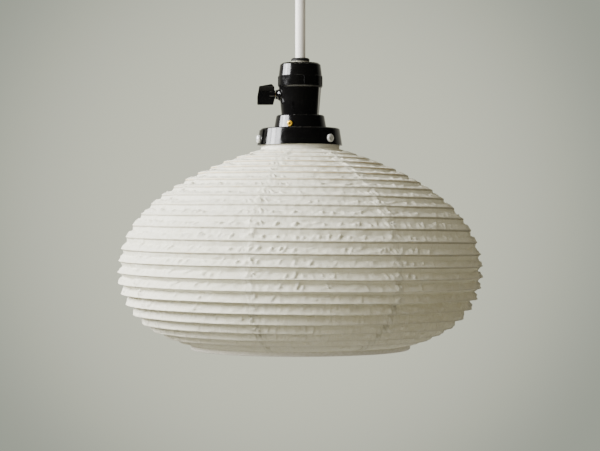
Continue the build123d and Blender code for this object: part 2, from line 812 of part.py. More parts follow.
def make_paper_gore(index):
    """One paper gore: a curved panel from the collar to the rim, an eighth of the way round."""
    outer = profile_curves(0.0)
    inner = profile_curves(paper_thick)
    top = Line(outer[0] @ 0, inner[0] @ 0)
    end = Line(outer[1] @ 1, inner[1] @ 1)
    section = make_face(Curve() + [outer[0], outer[1], end, inner[1], inner[0], top])
    gore_angle = 360 / gore_count
    start = seam_azimuth - 90 + index * gore_angle
    return Rot(Z=start) * revolve(section, Axis.Z, gore_angle)


def pitch_at(distance):
    """Rib spacing along the outline: closer together where the paper pleats round the belly."""
    dip = math.exp(-((distance - rib_dip_centre) / rib_dip_width) ** 2)
    return rib_pitch * (1 - rib_pitch_dip * dip)


def make_rib_helix():
    """One helical rib, as half turns that pass the +X and -X sides in turn."""
    rib_reach = math.hypot(rib_width, rib_height) / 2
    upper, lower = profile_curves(paper_thick + rib_reach + rib_gap)
    total = upper.length + lower.length
    distance = rib_start
    side = 1
    stations = []
    while distance < total - rib_end_margin:
        if distance < upper.length:
            point = upper @ (distance / upper.length)
        else:
            point = lower @ ((distance - upper.length) / lower.length)
        stations.append((side * point.X, point.Z))
        distance += pitch_at(distance) / 2
        side = -side
    arcs = []
    for (x_start, z_start), (x_end, z_end) in zip(stations[:-1], stations[1:]):
        radius = math.hypot(x_end - x_start, z_end - z_start) / 2
        bulge_y = radius if x_start > 0 else -radius
        middle = ((x_start + x_end) / 2, bulge_y, (z_start + z_end) / 2)
        arcs.append(ThreePointArc((x_start, 0, z_start), middle, (x_end, 0, z_end)))
    path = Wire(arcs)
    start = Plane((stations[0][0], 0, stations[0][1]), x_dir=(1, 0, 0), z_dir=(0, 1, 0))
    print(f"rib: {len(arcs) / 2} turns, {path.length:.0f} mm long")
    return sweep(start * Rectangle(rib_width, rib_height), path=path)


def make_neck_ring():
    """Collar at the lantern's top, with a groove for the holder's screws."""
    lip_z = step_bottom_z - wall - 0.2
    return turned([
        (neck_inner_radius, lip_z),
        (skirt_inner_radius - 1.9, lip_z),
        (skirt_inner_radius - 1.2, lip_z - 3.2),
        (neck_groove_radius, lip_z - 3.2),
        (neck_groove_radius, skirt_bottom_z + 1.5),
        (neck_outer_radius - 0.2, skirt_bottom_z + 0.8),
        (neck_outer_radius, skirt_bottom_z),
        (neck_outer_radius, paper_top_z - 0.4),
        (neck_inner_radius, paper_top_z - 0.4),
    ])


def make_rim_hoop():
    """Flat bamboo hoop round the bottom opening."""
    outer = rim_radius - binding_thick
    return tube(outer, outer - hoop_width, rim_bottom_z + binding_thick, rim_top_z - rim_gap)


def make_rim_binding():
    """Paper strip folded round the hoop, open at the top."""
    outer = tube(rim_radius, rim_radius - 2 * binding_thick - hoop_width, rim_bottom_z, rim_top_z - rim_gap)
    return outer - tube(rim_radius - binding_thick, rim_radius - binding_thick - hoop_width,
                        rim_bottom_z + binding_thick, rim_top_z)


# ---------------------------------------------------------------- bulb

def make_bulb_cap():
    """Screw cap of the bulb."""
    cap = thread_tube(bulb_thread_radius - bulb_cap_thick, bulb_thread_radius, thread_top_z)
    cap += turned([
        (bulb_thread_radius - bulb_cap_thick, thread_top_z),
        (bulb_thread_radius, thread_top_z),
        (bulb_thread_radius - 1.2, bulb_cap_top_z),
        (bulb_thread_radius - 1.6, bulb_cap_top_z),
    ])
    lower_z = thread_top_z - thread_turns * thread_pitch
    return cap + tube(bulb_thread_radius, bulb_thread_radius - bulb_cap_thick, bulb_cap_bottom_z, lower_z)


def make_bulb_insulator():
    """Insulating cone between the bulb's screw cap and its tip."""
    return turned([
        (0, bulb_tip_z - 1.6),
        (4.6, bulb_tip_z - 1.6),
        (bulb_thread_radius - 1.6, bulb_cap_top_z),
        (bulb_thread_radius - 1.6, bulb_cap_top_z - 0.6),
        (0, bulb_cap_top_z - 0.6),
    ])


def make_bulb_tip():
    """Contact button on the bulb's end."""
    button = disc(4.2, bulb_tip_z - 1.6, bulb_tip_z)
    return fillet(button.edges().group_by(Axis.Z)[-1], 1.2)


def make_bulb_housing():
    """White cone between the screw cap and the diffuser."""
    flare = Spline(
        (bulb_neck_radius, 0, housing_neck_z),
        (housing_flare_radius, 0, housing_flare_z),
        (bulb_shoulder_radius, 0, bulb_shoulder_z),
        tangents=[(0.1, 0, -1), (0.75, 0, -1)],
    )
    inner_flare = Spline(
        (bulb_shoulder_radius - housing_wall, 0, bulb_shoulder_z),
        (housing_flare_radius - housing_wall, 0, housing_flare_z),
        (bulb_neck_radius - housing_wall, 0, housing_neck_z),
        tangents=[(-0.75, 0, 1), (-0.1, 0, 1)],
    )
    lines = Polyline(
        (bulb_neck_radius - housing_wall, 0, housing_neck_z),
        (bulb_neck_radius - housing_wall, 0, bulb_cap_bottom_z + 8.0),
        (bulb_thread_radius - 0.95, 0, bulb_cap_bottom_z + 8.0),
        (bulb_thread_radius - 0.95, 0, bulb_cap_bottom_z),
        (bulb_neck_radius, 0, bulb_cap_bottom_z),
        (bulb_neck_radius, 0, housing_neck_z),
    )
    mouth = Line(flare @ 1, inner_flare @ 0)
    return revolve(make_face(Curve() + [flare, mouth, inner_flare, lines]), Axis.Z, 360)


def make_led_board():
    """Aluminium board across the housing's mouth, with its light sources below."""
    board = disc(bulb_shoulder_radius - 3.2, bulb_shoulder_z, bulb_shoulder_z + 1.2)
    for index in range(8):
        board += Rot(Z=45 * index) * Pos(16.0, 0, bulb_shoulder_z - 0.3) * Box(2.8, 2.8, 0.6)
    return board


def make_bulb_diffuser():
    """Opal globe of the bulb, open where it meets the housing."""

    def globe_arc(radius):
        shoulder = math.degrees(math.asin((bulb_shoulder_z - bulb_widest_z) / radius))
        arc = CenterArc((0, 0, 0), radius, -90, 90 + shoulder)
        return Plane((0, 0, bulb_widest_z), x_dir=(1, 0, 0), z_dir=(0, -1, 0)) * arc

    outer = globe_arc(bulb_radius)
    inner = globe_arc(bulb_radius - diffuser_wall)
    edges = [outer, inner, Line(outer @ 0, inner @ 0), Line(outer @ 1, inner @ 1)]
    return revolve(make_face(Curve() + edges), Axis.Z, 360)


# ---------------------------------------------------------------- write every sub-part

makers = {
    "rose_base": make_rose_base,
    "rose_cover": make_rose_cover,
    "cord_ball": make_cord_ball,
    "ball_screw": make_ball_screw,
    "rose_terminal_bar": make_terminal_bar,
    "rose_terminals": make_rose_terminals,
    "rose_terminal_screws": make_rose_terminal_screws,
    "rose_cores": make_rose_cores,
    "pendant_cord": make_pendant_cord,
    "cord_grommet": make_cord_grommet,
    "grommet_washer": make_grommet_washer,
    "cord_stop": make_cord_stop,
    "socket_cores": make_socket_cores,
    "socket_cap": make_socket_cap,
    "grip_ring": make_grip_ring,
    "socket_body": make_socket_body,
    "terminal_puck": make_terminal_puck,
    "line_terminal": make_line_terminal,
    "neutral_terminal": make_neutral_terminal,
    "terminal_screws": make_terminal_screws,
    "tie_screws": make_tie_screws,
    "contact_base": make_contact_base,
    "centre_contact": make_centre_contact,
    "switch_blade": make_switch_blade,
    "switch_contacts": make_switch_contacts,
    "screw_shell": make_screw_shell,
    "shell_rivets": make_shell_rivets,
    "key_bush": make_key_bush,
    "key_shaft": make_key_shaft,
    "switch_key": make_switch_key,
    "switch_cam": make_switch_cam,
    "cam_pin": make_cam_pin,
    "shade_holder": make_shade_holder,
    "holder_eyelet": make_holder_eyelet,
    "lock_screw": make_lock_screw,
    "holder_screws": make_holder_screws,
    "screw_bushes": make_screw_bushes,
    "neck_ring": make_neck_ring,
    "rib_helix": make_rib_helix,
    "rim_hoop": make_rim_hoop,
    "rim_binding": make_rim_binding,
    "bulb_cap": make_bulb_cap,
    "bulb_insulator": make_bulb_insulator,
    "bulb_tip": make_bulb_tip,
    "bulb_housing": make_bulb_housing,
    "led_board": make_led_board,
    "bulb_diffuser": make_bulb_diffuser,
}

for name, maker in makers.items():
    save(name, maker())
for number in range(gore_count):
    save(f"paper_gore_{number + 1}", make_paper_gore(number))
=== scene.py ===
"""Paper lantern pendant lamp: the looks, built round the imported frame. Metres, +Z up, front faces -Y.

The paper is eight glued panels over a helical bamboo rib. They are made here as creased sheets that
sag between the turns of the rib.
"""
import json
import math

import bpy
import numpy as np
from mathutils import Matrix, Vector, noise


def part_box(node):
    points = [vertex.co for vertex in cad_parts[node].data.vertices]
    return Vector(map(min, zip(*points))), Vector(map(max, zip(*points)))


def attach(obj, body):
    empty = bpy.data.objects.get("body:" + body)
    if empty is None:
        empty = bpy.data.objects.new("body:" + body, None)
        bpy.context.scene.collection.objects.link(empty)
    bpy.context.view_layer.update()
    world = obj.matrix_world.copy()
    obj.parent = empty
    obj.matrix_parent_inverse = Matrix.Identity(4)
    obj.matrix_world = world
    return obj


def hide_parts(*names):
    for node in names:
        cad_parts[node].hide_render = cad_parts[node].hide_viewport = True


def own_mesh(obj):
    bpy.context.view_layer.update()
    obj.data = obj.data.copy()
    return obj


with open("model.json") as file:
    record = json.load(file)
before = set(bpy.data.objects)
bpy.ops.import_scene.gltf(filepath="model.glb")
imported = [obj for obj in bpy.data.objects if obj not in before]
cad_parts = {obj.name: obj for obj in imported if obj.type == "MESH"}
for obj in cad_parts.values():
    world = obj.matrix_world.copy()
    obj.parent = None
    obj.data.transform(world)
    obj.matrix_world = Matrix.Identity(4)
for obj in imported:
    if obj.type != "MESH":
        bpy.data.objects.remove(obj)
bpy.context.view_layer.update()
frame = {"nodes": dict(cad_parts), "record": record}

# ---------------------------------------------------------------- driving dimensions

MM = 0.001

# Outline of the paper, from the neck down to the rim
PAPER_TOP = (34.9 * MM, -189.2 * MM)
PAPER_WIDEST = (159.8 * MM, -297.3 * MM)
PAPER_RIM = (96.5 * MM, -360.3 * MM)
TOP_SLOPE = math.radians(15.9)
TOP_HANDLE = 54.4 * MM
UPPER_HANDLE = 61.3 * MM
LOWER_HANDLE = 23.6 * MM
RIM_SLOPE = math.radians(13.5)
RIM_HANDLE = 49.4 * MM
CURVE_POINTS = 400

# Helical rib, one strip of split bamboo. Its turns are closer together round the dip.
RIB_START = 3.2 * MM
RIB_PITCH = 12.3 * MM
RIB_PITCH_DIP = 0.22
RIB_DIP_CENTRE = 183.0 * MM
RIB_DIP_WIDTH = 35.0 * MM
RIB_END_MARGIN = 5.0 * MM
RIB_WIDTH = 1.5 * MM
RIB_HEIGHT = 1.2 * MM
RIB_CORNER_CUT = 0.28
RIB_INSET = 0.95 * MM
RIB_ROWS_PER_TURN = 150

# Wander of the rib, which the paper follows
RIB_WAVES_PER_TURN = 11
RIB_WAVE_DOWN = 0.45 * MM
RIB_WAVE_OUT = 0.35 * MM
WAVE_DOWN_SHIFT = 3.7
WAVE_OUT_SHIFT = 8.1

# Paper panels
GORE_COUNT = 8
GORE_COLUMNS = 136
SEAM_AZIMUTH = math.radians(-15)
SEAM_OVERLAP = 4.5 * MM
SEAM_LIFT = 0.22 * MM
SEAM_LIFT_FADE = 3 * MM
MERGE_STEPS_PER_METRE = 1e7

# Sag: the paper between two turns is this long, less slack at the neck and rim and more near the bottom
LOOSE_LENGTH = 13.2 * MM
NECK_SAG = 0.50
NECK_FADE = 55 * MM
RIM_FADE = 16 * MM
LOWER_SAG = 0.95
LOWER_START = 180 * MM
LOWER_FADE = 40 * MM
SAG_PATCH_SIZE = 38 * MM
SAG_PATCH_SHARE = 0.16
SEAM_SAG_LOSS = 0.30

# Share of the way from one turn to the next, and how much of the full sag the paper has there
SAG_PROFILE = (
    (0.00, -0.10),
    (0.035, -0.06),
    (0.065, 0.17),
    (0.09, 0.38),
    (0.13, 0.47),
    (0.20, 0.58),
    (0.28, 0.74),
    (0.36, 0.91),
    (0.42, 0.99),
    (0.47, 1.00),
    (0.53, 0.89),
    (0.61, 0.71),
    (0.72, 0.47),
    (0.84, 0.22),
    (0.93, 0.03),
    (0.97, -0.06),
)

# Dark lines painted on the paper: under the rib, partly where it is glued on and partly painted shadow of
# the rib; painted shadow of the rib on the crests near the bottom; and the glued edges of the seams
GLUE_AND_SHADE_SHARE = 0.075
GLUE_AND_SHADE_WIDTH = 0.040
CREST_SHADOW = 0.7
CREST_WIDTH = 0.05
SEAM_STAIN = 0.42
SEAM_STAIN_WIDTH = 0.8 * MM

# Buckles pressed into the paper. They grow from the neck to the belly.
BELLY_START = 40 * MM
BELLY_FADE = 95 * MM
BUCKLE_SPACING = 7.5 * MM
BUCKLE_HEIGHT = 2.5 * MM
BUCKLE_LEAN = 7 * MM
BUCKLE_PATCH_SIZE = 26 * MM
LEAN_PATCH_SIZE = 45 * MM
STREAK_SPACING = 2.6 * BUCKLE_SPACING
STREAK_HEIGHT = 1.4 * MM
STREAK_LEAN = -26 * MM
FOLD_WANDER = 0.10
FOLD_WANDER_SIZE = 5.5 * MM
FOLD_BAND_GAP = 31 * MM
CRUMPLE_SIZE = 9.5 * MM
CRUMPLE_HEIGHT = 0.6 * MM
FINE_SIZE = 3.6 * MM
FINE_HEIGHT = 0.15 * MM
CELL_MIDDLE = 0.45
PROUD_LIMIT = 0.12 * MM

# Crumpled paper along the seams
SEAM_WIDTH = 6.0 * MM
SEAM_BUCKLE_SPACING = 4.4 * MM
SEAM_BUCKLE_HEIGHT = 4.4 * MM
SEAM_LUMP_SIZE = 5.0 * MM
SEAM_LUMP_HEIGHT = 2.4 * MM

# Paper folded over the rim hoop
BINDING_DEPTH = 3.4 * MM
BINDING_COLUMNS = 420
BINDING_CLEARANCE = 0.1 * MM
PLEAT_SIZE = 4.5 * MM
PLEAT_HEIGHT = 0.16 * MM
BINDING_WAVE_SIZE = 35 * MM
BINDING_WAVE_OUT = 0.12 * MM
BINDING_WAVE_UP = 0.08 * MM

# Cord, with the route's points as in the CAD source
CORD_DIAMETER = 8.9 * MM
CORD_TOP_Z = -18.0 * MM
CORD_BOTTOM_Z = -122.5 * MM
CORD_ROUTE_Z = (CORD_BOTTOM_Z, -96 * MM, -70 * MM, -44 * MM, CORD_TOP_Z)

# Camera and floor
CAMERA_PLACE = (-0.0003, -1.498, -0.256)
CAMERA_LENS = 102
CAMERA_SENSOR = 36
FLOOR_Z = -2.4
FLOOR_RADIUS = 9.0
FLOOR_CORNERS = 96

# Room: a dim one in front of the lamp, darker in reflections, and a pale wall behind it
ROOM_COLOUR = (0.285, 0.262, 0.205)
DARK_ROOM_COLOUR = (0.018, 0.019, 0.020)
WALL_COLOUR = (0.55, 0.54, 0.45)
WALL_START_Y = 0.25
BACKDROP_EDGE = (0.375, 0.402, 0.333)
BACKDROP_CENTRE = (0.80, 0.815, 0.65)
BACKDROP_DIRECTION = (-0.008, 1.0, 0.008)
BACKDROP_GLOW_ANGLE = math.radians(12.5)

# Window in four upright panes, and the soft light round it. Azimuths are degrees left of the front.
LIGHT_TARGET = (0, 0, -0.2)
PANE_POWERS = (30, 50, 74, 44)
PANE_AZIMUTH = 50
PANE_AZIMUTH_STEP = 17
PANE_ELEVATION = 25
PANE_DISTANCE = 2.2
PANE_SIZE = (0.56, 1.0)
PANE_COLOUR = (0.99, 0.99, 1.0)
GLOW_POWER = 46
GLOW_AZIMUTH = 44
GLOW_ELEVATION = 22
GLOW_DISTANCE = 2.4
GLOW_SIZE = (2.4, 1.8)
GLOW_COLOUR = (1.0, 0.965, 0.85)


def in_scene(name, data):
    """A new object with that data, in the scene."""
    item = bpy.data.objects.new(name, data)
    bpy.context.scene.collection.objects.link(item)
    return item


# ---------------------------------------------------------------- materials

def colour_mix(tree, factor, first, second):
    """Output of a node that blends two colours. Each is a colour or another node's colour output."""
    mix = tree.nodes.new("ShaderNodeMix")
    mix.data_type = "RGBA"
    tree.links.new(factor, mix.inputs["Factor"])
    for socket, colour in (("A", first), ("B", second)):
        target = next(s for s in mix.inputs if s.identifier == f"{socket}_Color")
        if isinstance(colour, tuple):
            target.default_value = (*colour, 1.0)
        else:
            tree.links.new(colour, target)
    return next(s for s in mix.outputs if s.identifier == "Result_Color")


def map_range(tree, factor, low, high, to_low=0.0, to_high=1.0, ease="LINEAR"):
    """Output of a node that maps the factor's span from low to high onto another span."""
    node = tree.nodes.new("ShaderNodeMapRange")
    node.interpolation_type = ease
    for name, value in (("From Min", low), ("From Max", high), ("To Min", to_low), ("To Max", to_high)):
        node.inputs[name].default_value = value
    tree.links.new(factor, node.inputs["Value"])
    return node.outputs["Result"]


class Finish:
    """One material: a Principled shader with the noise, tint, roughness and bump that it is given."""

    def __init__(self, name, base, roughness, metallic=0.0, **sockets):
        self.material = bpy.data.materials.new(name)
        self.material.use_nodes = True
        self.tree = self.material.node_tree
        self.shader = self.tree.nodes["Principled BSDF"]
        self.set("Base Color", (*base, 1.0))
        self.set("Roughness", roughness)
        self.set("Metallic", metallic)
        for socket, value in sockets.items():
            self.set(socket.replace("_", " "), value)
        self.place = self.add("ShaderNodeTexCoord").outputs["Object"]

    def set(self, socket, value):
        self.shader.inputs[socket].default_value = value

    def add(self, kind, **inputs):
        node = self.tree.nodes.new(kind)
        for name, value in inputs.items():
            node.inputs[name.replace("_", " ")].default_value = value
        return node

    def link(self, output, target):
        self.tree.links.new(output, target)

    def scaled_place(self, size, stretch):
        """Object coordinates in units of a size in metres, stretched along an axis by a factor."""
        mapping = self.add("ShaderNodeMapping")
        mapping.inputs["Scale"].default_value = [1 / (size * s) for s in stretch]
        self.link(self.place, mapping.inputs["Vector"])
        return mapping.outputs["Vector"]

    def noise(self, size, detail=3.0, stretch=(1, 1, 1)):
        """Noise with features of that size."""
        texture = self.add("ShaderNodeTexNoise", Scale=1.0, Detail=detail)
        self.link(self.scaled_place(size, stretch), texture.inputs["Vector"])
        return texture.outputs["Fac"]

    def facets(self, size, stretch=(1, 1, 1)):
        """Cells with a cone in each, like the facets of crumpled paper."""
        texture = self.add("ShaderNodeTexVoronoi", Scale=1.0)
        self.link(self.scaled_place(size, stretch), texture.inputs["Vector"])
        return texture.outputs["Distance"]

    def speckle(self, size, threshold, soft):
        """Small round specks: 1 inside a speck and 0 elsewhere."""
        return self.remap(self.facets(size), threshold + soft, threshold, 0.0, 1.0)

    def sum(self, first, share, second):
        """First plus a share of second."""
        node = self.add("ShaderNodeMath")
        node.operation = "MULTIPLY_ADD"
        self.link(second, node.inputs[0])
        node.inputs[1].default_value = share
        self.link(first, node.inputs[2])
        return node.outputs["Value"]

    def remap(self, factor, low, high, to_low, to_high):
        return map_range(self.tree, factor, low, high, to_low, to_high)

    def blend(self, factor, dark, light):
        return colour_mix(self.tree, factor, dark, light)

    def tint(self, colour):
        self.link(colour, self.shader.inputs["Base Color"])

    def rough(self, factor, low, high):
        """Roughness from low to high over the middle of the noise, where most of it lies."""
        self.link(self.remap(factor, 0.3, 0.7, low, high), self.shader.inputs["Roughness"])

    def bump(self, height, distance, strength=1.0):
        """Raises the surface by the height in units of the distance, and returns the new normal."""
        node = self.add("ShaderNodeBump", Strength=strength, Distance=distance)
        self.link(height, node.inputs["Height"])
        self.link(node.outputs["Normal"], self.shader.inputs["Normal"])
        return node.outputs["Normal"]


def moulded(name, dark, light, roughness):
    """Moulded plastic: faint mottling, uneven gloss and a fine orange-peel surface."""
    finish = Finish(name, light, roughness)
    finish.tint(finish.blend(finish.noise(9 * MM), dark, light))
    finish.rough(finish.noise(4 * MM, 5.0), roughness * 0.75, roughness * 1.35)
    finish.bump(finish.noise(0.6 * MM, 2.0), 0.02 * MM, 0.35)
    return finish.material


def bare_metal(name, dark, light, roughness, metallic=1.0):
    """Metal with tarnish in patches and fine drawn lines. A plated one is a little less than metallic."""
    finish = Finish(name, light, roughness, metallic=metallic)
    patches = finish.remap(finish.noise(5 * MM, 6.0), 0.38, 0.62, 0.0, 1.0)
    finish.tint(finish.blend(patches, dark, light))
    lines = finish.noise(0.35 * MM, 4.0, (1, 1, 6))
    finish.rough(lines, roughness * 0.7, roughness * 1.5)
    finish.bump(lines, 0.015 * MM, 0.4)
    return finish.material


def bakelite():
    """Glossy black phenolic, with polishing haze and a little dust."""
    finish = Finish("black_bakelite", (0.006, 0.006, 0.006), 0.12, IOR=1.55)
    haze = finish.noise(14 * MM, 5.0)
    clean = finish.blend(haze, (0.0015, 0.0015, 0.0018), (0.004, 0.0037, 0.0034))
    dust = finish.speckle(1.7 * MM, 0.05, 0.05)
    finish.tint(finish.blend(dust, clean, (0.030, 0.028, 0.026)))
    finish.rough(finish.noise(6 * MM, 6.0), 0.07, 0.20)
    finish.bump(finish.noise(3.5 * MM, 2.0), 0.03 * MM, 0.25)
    return finish.material


def washi():
    """Thin handmade paper: cloudy, with long pale fibres, dark where it is glued, with painted shadow of
    the rib along its turns, lit from both sides.
    """
    finish = Finish("lantern_paper", (0.80, 0.79, 0.72), 0.72, Specular_IOR_Level=0.25)
    clouds = finish.noise(16 * MM, 4.0)
    fibres = finish.remap(finish.noise(0.9 * MM, 3.0, (7, 7, 1)), 0.52, 0.70, 0.0, 1.0)
    cross = finish.remap(finish.noise(0.9 * MM, 3.0, (1.5, 1.5, 6)), 0.55, 0.72, 0.0, 1.0)
    sheet = finish.blend(clouds, (0.81, 0.795, 0.655), (0.865, 0.855, 0.735))
    sheet = finish.blend(fibres, sheet, (0.89, 0.88, 0.79))
    sheet = finish.blend(cross, sheet, (0.77, 0.745, 0.61))
    # Dark lines from the mesh: glued seams, and under the rib glued paper with painted shadow of the rib;
    # painted rib shadow on the crests near the bottom
    glue_and_shade = finish.add("ShaderNodeAttribute")
    glue_and_shade.attribute_name = "glue_and_rib_shadow"
    line = finish.remap(glue_and_shade.outputs["Fac"], 0.15, 1.0, 0.0, 0.62)
    sheet = finish.blend(line, sheet, (0.27, 0.235, 0.15))
    finish.tint(sheet)
    creased = finish.facets(8 * MM, (1.5, 1.5, 0.7))
    creased = finish.sum(creased, 0.55, finish.facets(4.2 * MM, (1.3, 1.3, 0.8)))
    creased = finish.sum(creased, 0.16, finish.noise(0.9 * MM, 5.0, (3, 3, 1)))
    normal = finish.bump(creased, 0.85 * MM)
    glow = finish.add("ShaderNodeBsdfTranslucent")
    finish.link(sheet, glow.inputs["Color"])
    finish.link(normal, glow.inputs["Normal"])
    mix = finish.add("ShaderNodeMixShader", Fac=0.22)
    finish.link(finish.shader.outputs["BSDF"], mix.inputs[1])
    finish.link(glow.outputs["BSDF"], mix.inputs[2])
    finish.link(mix.outputs["Shader"], finish.tree.nodes["Material Output"].inputs["Surface"])
    return finish.material


def card(name, dark, light):
    """Thick paper or card: matt, with short fibres."""
    finish = Finish(name, light, 0.8, Specular_IOR_Level=0.2)
    fibres = finish.noise(1.1 * MM, 5.0, (3, 3, 1))
    finish.tint(finish.blend(finish.remap(fibres, 0.4, 0.62, 0.0, 1.0), dark, light))
    finish.bump(fibres, 0.08 * MM, 0.6)
    return finish.material


def bamboo(name, dark, light):
    """Split bamboo: straw-coloured, with darker streaks along the strip."""
    finish = Finish(name, light, 0.5)
    streaks = finish.noise(0.8 * MM, 5.0, (8, 8, 1))
    knots = finish.remap(finish.noise(28 * MM, 2.0), 0.60, 0.72, 0.0, 0.5)
    straw = finish.blend(finish.remap(streaks, 0.38, 0.62, 0.0, 1.0), dark, light)
    finish.tint(finish.blend(knots, straw, (0.30, 0.19, 0.08)))
    finish.rough(streaks, 0.40, 0.65)
    finish.bump(streaks, 0.05 * MM, 0.5)
    return finish.material


def cord_sheath():
    """White vinyl sheath, slightly yellowed, with the twist of the cores showing faintly."""
    finish = Finish("cord_sheath", (0.80, 0.79, 0.76), 0.38)
    clouds = finish.noise(12 * MM, 4.0, (1, 1, 3))
    finish.tint(finish.blend(clouds, (0.76, 0.745, 0.70), (0.84, 0.83, 0.80)))
    finish.rough(finish.noise(3 * MM, 5.0), 0.30, 0.50)
    finish.bump(finish.noise(5 * MM, 2.0, (1, 1, 4)), 0.12 * MM, 0.3)
    return finish.material


def opal():
    """Frosted white bulb globe."""
    finish = Finish(
        "opal_globe",
        (0.86, 0.86, 0.84),
        0.30,
        Subsurface_Weight=0.25,
        Subsurface_Scale=0.004,
        Coat_Weight=0.15,
    )
    finish.tint(finish.blend(finish.noise(20 * MM, 2.0), (0.84, 0.84, 0.81), (0.89, 0.89, 0.87)))
    finish.bump(finish.noise(0.5 * MM, 2.0), 0.01 * MM, 0.3)
    return finish.material


materials = {
    "white_plastic": moulded("white_plastic", (0.74, 0.73, 0.69), (0.80, 0.79, 0.76), 0.34),
    "terminal_plastic": moulded("terminal_plastic", (0.70, 0.68, 0.62), (0.78, 0.76, 0.71), 0.45),
    "brass": bare_metal("brass", (0.46, 0.30, 0.11), (0.80, 0.57, 0.24), 0.26),
    "zinc_steel": bare_metal("zinc_steel", (0.70, 0.71, 0.70), (0.90, 0.91, 0.90), 0.34, metallic=0.45),
    "core_insulation": moulded("core_insulation", (0.72, 0.70, 0.66), (0.80, 0.79, 0.76), 0.42),
    "cord_sheath": cord_sheath(),
    "black_rubber": moulded("black_rubber", (0.010, 0.010, 0.010), (0.018, 0.018, 0.017), 0.42),
    "fibre_washer": card("fibre_washer", (0.30, 0.29, 0.24), (0.46, 0.45, 0.38)),
    "black_bakelite": bakelite(),
    "brown_phenolic": moulded("brown_phenolic", (0.10, 0.045, 0.02), (0.19, 0.09, 0.04), 0.40),
    "spring_bronze": bare_metal("spring_bronze", (0.42, 0.23, 0.11), (0.72, 0.44, 0.24), 0.30),
    "silver_contact": bare_metal("silver_contact", (0.60, 0.59, 0.56), (0.86, 0.85, 0.83), 0.22),
    "collar_card": card("collar_card", (0.68, 0.66, 0.58), (0.79, 0.77, 0.70)),
    "lantern_paper": washi(),
    "rib_bamboo": bamboo("rib_bamboo", (0.50, 0.37, 0.19), (0.71, 0.58, 0.35)),
    "hoop_bamboo": bamboo("hoop_bamboo", (0.46, 0.33, 0.16), (0.68, 0.54, 0.31)),
    "binding_paper": card("binding_paper", (0.74, 0.72, 0.63), (0.83, 0.81, 0.74)),
    "bulb_metal": bare_metal("bulb_metal", (0.55, 0.56, 0.57), (0.80, 0.81, 0.82), 0.25),
    "bulb_insulation": moulded("bulb_insulation", (0.02, 0.02, 0.022), (0.04, 0.04, 0.042), 0.25),
    "bulb_plastic": moulded("bulb_plastic", (0.77, 0.77, 0.75), (0.83, 0.83, 0.81), 0.36),
    "opal_globe": opal(),
}

own_finishes = {
    "holder_eyelet": bare_metal("gilt_brass", (0.85, 0.46, 0.03), (1.0, 0.62, 0.06), 0.32),
    "lock_screw": bare_metal("blackened_steel", (0.010, 0.010, 0.010), (0.03, 0.03, 0.03), 0.5),
}

for part in frame["record"]["subparts"]:
    mesh = frame["nodes"][part["node"]].data
    mesh.materials.clear()
    mesh.materials.append(own_finishes.get(part["node"], materials[part["material_slot"]]))


# ---------------------------------------------------------------- outline of the paper

def bezier(start, handle_a, handle_b, end):
    t = np.linspace(0, 1, CURVE_POINTS)[:, None]
    points = [np.array(p, float) for p in (start, handle_a, handle_b, end)]
    weights = ((1 - t) ** 3, 3 * t * (1 - t) ** 2, 3 * t**2 * (1 - t), t**3)
    return sum(w * p for w, p in zip(weights, points))


upper_outline = bezier(
    PAPER_TOP,
    (PAPER_TOP[0] + TOP_HANDLE * math.cos(TOP_SLOPE), PAPER_TOP[1] - TOP_HANDLE * math.sin(TOP_SLOPE)),
    (PAPER_WIDEST[0], PAPER_WIDEST[1] + UPPER_HANDLE),
    PAPER_WIDEST,
)
lower_outline = bezier(
    PAPER_WIDEST,
    (PAPER_WIDEST[0], PAPER_WIDEST[1] - LOWER_HANDLE),
    (PAPER_RIM[0] + RIM_HANDLE * math.cos(RIM_SLOPE), PAPER_RIM[1] + RIM_HANDLE * math.sin(RIM_SLOPE)),
    PAPER_RIM,
)
outline = np.vstack([upper_outline, lower_outline[1:]])
outline_steps = np.linalg.norm(np.diff(outline, axis=0), axis=1)
outline_down = np.concatenate([[0], np.cumsum(outline_steps)])
outline_length = outline_down[-1]
outline_slope = np.gradient(outline, outline_down, axis=0)


def on_outline(down):
    """Radius, height and the outward direction at a distance down the outline."""
    radius = np.interp(down, outline_down, outline[:, 0])
    height = np.interp(down, outline_down, outline[:, 1])
    out_r = -np.interp(down, outline_down, outline_slope[:, 1])
    out_z = np.interp(down, outline_down, outline_slope[:, 0])
    size = np.hypot(out_r, out_z)
    return radius, height, out_r / size, out_z / size


# ---------------------------------------------------------------- helix of the rib

def pitch_at(down):
    dip = np.exp(-(((down - RIB_DIP_CENTRE) / RIB_DIP_WIDTH) ** 2))
    return RIB_PITCH * (1 - RIB_PITCH_DIP * dip)


def half_turn_distances():
    distances = [RIB_START]
    while distances[-1] + pitch_at(distances[-1]) / 2 < outline_length - RIB_END_MARGIN:
        distances.append(distances[-1] + pitch_at(distances[-1]) / 2)
    return distances


half_turns = half_turn_distances()
rib_turns = (len(half_turns) - 1) / 2
next_turn = half_turns[-1] + pitch_at(half_turns[-1])

# One turn is added at each end, for the paper beyond the rib
known_turns = np.array([-1.0] + [index / 2 for index in range(len(half_turns))] + [rib_turns + 1])
known_down = np.array([RIB_START - RIB_PITCH] + half_turns + [next_turn])


def down_at(turns):
    """Distance down the outline after that many turns of the helix from its start at +X."""
    return np.interp(turns, known_turns, known_down)


turn_steps = np.linspace(-2, rib_turns + 3, 1200)
turn_radius = np.interp(np.clip(down_at(turn_steps), 0, outline_length), outline_down, outline[:, 0])
step_lengths = np.diff(turn_steps) * math.pi * (turn_radius[1:] + turn_radius[:-1])
turn_length = np.concatenate([[0], np.cumsum(step_lengths)])


def helix_length(turns):
    """Length of the helix up to that many turns."""
    return np.interp(turns, turn_steps, turn_length)


def smooth(value):
    value = np.clip(value, 0, 1)
    return value * value * (3 - 2 * value)


def noise_at(points, size, shift=0.0):
    """Smooth noise from about -1 to 1, with features of that size."""
    flat = (points / size + shift).reshape(-1, 3).tolist()
    return np.array([noise.noise(p) for p in flat]).reshape(points.shape[:-1])


